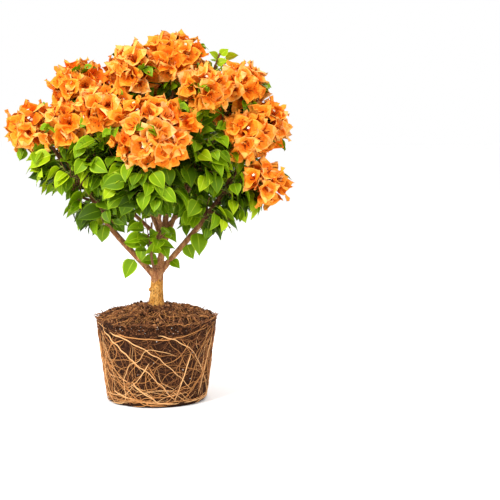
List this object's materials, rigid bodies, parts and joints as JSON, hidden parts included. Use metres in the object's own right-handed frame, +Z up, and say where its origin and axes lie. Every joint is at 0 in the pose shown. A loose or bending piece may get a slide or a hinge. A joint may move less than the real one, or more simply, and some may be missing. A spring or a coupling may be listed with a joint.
{
  "type": "bougainvillea bush",
  "caption": "Flowering bougainvillea bush lifted out of its pot: short trunk, spreading boughs, heads of papery orange bracts over green leaves, standing on its bare root ball",
  "frame": {"origin": "centre of the root ball's flat underside", "axes": "+Z up along the trunk; -Y is the side the picture shows; +X is the picture's right"},
  "size_m": [0.57, 0.4495, 0.7329],
  "materials": {
    "root_ball": "rough peat held by matted roots",
    "trunk_bark": "rough, golden tan bark",
    "bough_bark": "slightly rough, reddish brown bark",
    "bracts": "thin and papery, soft sheen",
    "leaves": "smooth, slightly glossy"
  },
  "bodies": {
    "root": {"root_ball": "root_ball", "trunk": "trunk_bark", "bough_top": "bough_bark", "bough_left_tip": "bough_bark", "bough_right_tip": "bough_bark", "bough_back": "bough_bark", "bough_front": "bough_bark", "bough_upper_right": "bough_bark", "bough_upper_left": "bough_bark", "bough_front_left": "bough_bark", "bough_back_top": "bough_bark", "bough_top_left": "bough_bark", "bough_right_centre": "bough_bark", "bough_left": "bough_bark", "bough_right": "bough_bark", "bough_low_right": "bough_bark", "bough_back_left": "bough_bark", "bough_back_right": "bough_bark", "blossom_top": "bracts", "blossom_left_tip": "bracts", "blossom_right_tip": "bracts", "blossom_back": "bracts", "blossom_front": "bracts", "blossom_upper_right": "bracts", "blossom_upper_left": "bracts", "blossom_front_left": "bracts", "blossom_back_top": "bracts", "blossom_top_left": "bracts", "blossom_right_centre": "bracts", "blossom_left": "bracts", "blossom_right": "bracts", "blossom_low_right": "bracts", "blossom_back_left": "bracts", "blossom_back_right": "bracts", "foliage_neck": "leaves", "foliage_front": "leaves", "foliage_front_right": "leaves", "foliage_left": "leaves", "foliage_low_left": "leaves", "foliage_right": "leaves", "foliage_front_left": "leaves", "foliage_low_right": "leaves", "foliage_heart": "leaves", "foliage_back_left": "leaves", "foliage_back_right": "leaves", "foliage_back": "leaves", "foliage_sprig": "leaves"}
  },
  "joints": []
}
